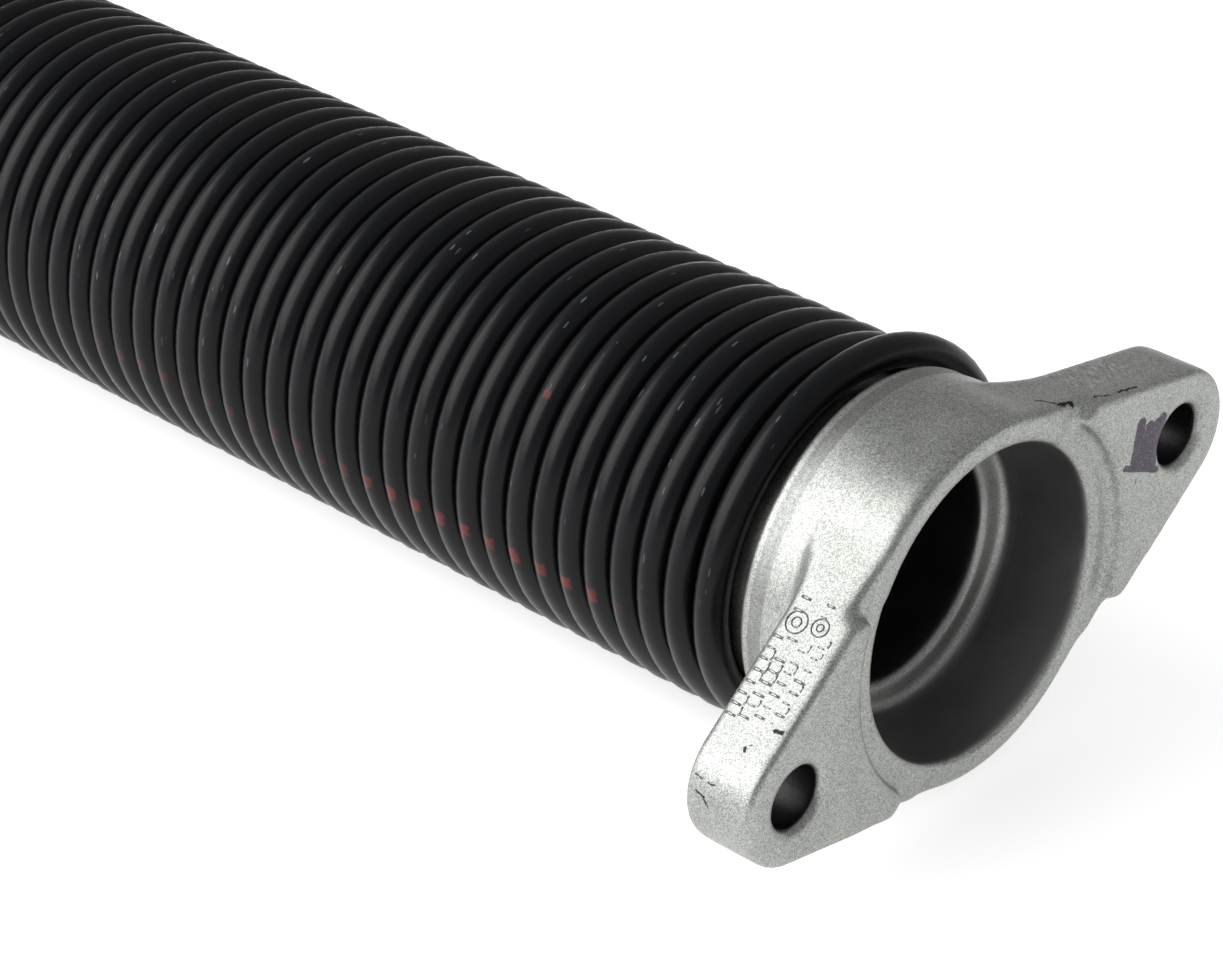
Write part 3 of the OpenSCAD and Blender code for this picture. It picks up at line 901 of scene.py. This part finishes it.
setScrew = {
    "diameter": 9.525 * mm,
    "threadPitch": 1.5875 * mm,
    "threadDepth": 0.85 * mm,
    "shank": 15.9 * mm,
    "headWidth": 9.7 * mm,
    "headHeight": 7 * mm,
    "cupRadius": 3.3 * mm,
    "cupDepth": 1.2 * mm,
    "taper": 1.4 * mm,         # over which the thread runs out at the point
    "corner": 0.9 * mm,        # of the square head
    "sides": 48,
    "ringsPerPitch": 10,
}


steel = {
    "dark": (0.24, 0.245, 0.24),
    "light": (0.44, 0.445, 0.43),
    "grime": (0.10, 0.09, 0.08),
    "roughness": 0.28,
}


def makeSteelMaterial():
    material, tree, shader = newMaterial("zincPlatedSteel")
    place, x, y, z, radius, angle = partPlace(tree)
    cloud = noise(tree, place, 260.0, 4.0, 0.6)
    fine = noise(tree, place, 3200.0, 2.0, 0.5, 2.0)
    colour = mixColour(tree, cloud, steel["dark"], steel["light"])
    grime = ramp(tree, noise(tree, place, 600.0, 4.0, 0.65, 5.0), 0.55, 0.75)
    colour = mixColour(tree, times(tree, grime, 0.6), colour, steel["grime"])
    tree.links.new(colour, shader.inputs["Base Color"])
    shader.inputs["Metallic"].default_value = 1.0
    tree.links.new(plus(tree, steel["roughness"], times(tree, cloud, 0.22)), shader.inputs["Roughness"])
    addBump(tree, shader, fine, 0.25, 0.02 * mm)
    return material


def screwMesh(name, side):
    # a cup point, a threaded shank and a square head, built point down and turned outwards
    low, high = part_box("set_screw_1" if side > 0 else "set_screw_2")
    values = setScrew
    centre = (low.x + high.x) / 2
    tip = low.y if side > 0 else -high.y
    work = bmesh.new()
    rings = []

    def ring(radiusAt, height):
        points = []
        for number in range(values["sides"]):
            turn = 2 * math.pi * number / values["sides"]
            reach = radiusAt(turn)
            points.append(work.verts.new((reach * math.cos(turn), reach * math.sin(turn), height)))
        rings.append(points)

    outer = values["diameter"] / 2
    taper, corner = values["taper"], values["corner"]

    def threadAt(height):
        def radiusAt(turn):
            wave = (height / values["threadPitch"] - turn / (2 * math.pi)) % 1
            profile = min(abs(wave - 0.5) * 2 * 1.25, 1)     # 0 in the root, 1 on the flat crest
            atPoint = min(max((height - taper * 0.4) / taper, 0), 1)
            atHead = min(max((values["shank"] - 0.6 * mm - height) / mm, 0), 1)
            start = min(outer, outer - 0.7 * mm + height * 0.9)
            return min(start, outer - values["threadDepth"] * (1 - profile) * atPoint * atHead)
        return radiusAt

    for part in range(5):
        reach = values["cupRadius"] * (0.12 + 0.88 * part / 4)
        ring(lambda turn, reach=reach: reach, values["cupDepth"] * (1 - (part / 4) ** 2) + 0.02 * mm)
    count = int(values["shank"] / values["threadPitch"] * values["ringsPerPitch"])
    for number in range(count + 1):
        height = values["shank"] * number / count
        ring(threadAt(height), height)
    half = values["headWidth"] / 2

    def squareAt(size, limit):
        def radiusAt(turn):
            flat = size / max(abs(math.cos(turn)), abs(math.sin(turn)))
            return min(flat, limit)
        return radiusAt

    foot, top = values["shank"], values["shank"] + values["headHeight"]
    for limit, height in ((1.02, foot), (1.36, foot + corner * 0.6), (1.36, top - corner),
                          (1.14, top - corner * 0.25), (0.96, top)):
        ring(squareAt(half, half * limit), height)
    for below, above in zip(rings[:-1], rings[1:]):
        for number in range(values["sides"]):
            after = (number + 1) % values["sides"]
            work.faces.new((below[number], below[after], above[after], above[number]))
    work.faces.new(rings[0][::-1])
    work.faces.new(rings[-1])
    outwards = Matrix.Rotation(math.radians(-90 if side > 0 else 90), 4, "X")
    work.transform(Matrix.Translation((centre, side * tip, 0)) @ outwards)
    bmesh.ops.recalc_face_normals(work, faces=work.faces)
    mesh = bpy.data.meshes.new(name)
    work.to_mesh(mesh)
    work.free()
    mesh.shade_smooth()
    mesh.set_sharp_from_angle(angle=math.radians(38))
    return mesh


def makeScrews():
    material = makeSteelMaterial()
    for number, side in (("1", 1), ("2", -1)):
        meshPiece("setScrew" + number, screwMesh("setScrew" + number, side), material,
                  "screw_" + number, "screw_steel", "set_screw_" + number)


makeScrews()


studio = {
    "floorSize": 12,           # m
    "floorColour": (0.80, 0.80, 0.80),
    "floorLift": 0.64,         # white that the background gains where it is seen or mirrored
    "ambient": 0.43,
    "softboxPower": 11,        # W
    "softboxSize": (1.1, 0.9),
    "softboxDirection": (-0.55, -0.65, 0.5),
    "softboxDistance": 1.0,
}


def makeFloor():
    size = studio["floorSize"] / 2
    mesh = bpy.data.meshes.new("studioFloor")
    mesh.from_pydata([(-size, -size, floorHeight), (size, -size, floorHeight), (size, size, floorHeight),
                      (-size, size, floorHeight)], [], [(0, 1, 2, 3)])
    floor = bpy.data.objects.new("studioFloor", mesh)
    bpy.context.scene.collection.objects.link(floor)
    material, tree, shader = newMaterial("paleFloor")
    path = putNode(tree, "ShaderNodeLightPath")
    seen = calc(tree, "MAXIMUM", path.outputs["Is Camera Ray"],
                calc(tree, "MAXIMUM", path.outputs["Is Glossy Ray"], path.outputs["Is Transmission Ray"]))
    shader.inputs["Base Color"].default_value = (*studio["floorColour"], 1)
    shader.inputs["Roughness"].default_value = 0.9
    shader.inputs["Specular IOR Level"].default_value = 0.0
    shader.inputs["Emission Color"].default_value = (1, 1, 1, 1)
    tree.links.new(times(tree, seen, studio["floorLift"]), shader.inputs["Emission Strength"])
    mesh.materials.append(material)


def makeLamp(name, direction, distance, size, power):
    lamp = bpy.data.lights.new(name, "AREA")
    lamp.shape = "RECTANGLE"
    lamp.size, lamp.size_y = size
    lamp.energy = power
    holder = bpy.data.objects.new(name, lamp)
    bpy.context.scene.collection.objects.link(holder)
    away = Vector(direction).normalized()
    holder.rotation_euler = away.to_track_quat("Z", "Y").to_euler()
    holder.location = away * distance


def makeLight():
    world = bpy.data.worlds.new("studioRoom")
    world.use_nodes = True
    world.node_tree.nodes["Background"].inputs["Color"].default_value = (1, 1, 1, 1)
    world.node_tree.nodes["Background"].inputs["Strength"].default_value = studio["ambient"]
    bpy.context.scene.world = world
    makeLamp("leftSoftbox", studio["softboxDirection"], studio["softboxDistance"], studio["softboxSize"],
             studio["softboxPower"])


makeFloor()
makeLight()
bpy.context.scene.view_settings.view_transform = "Standard"
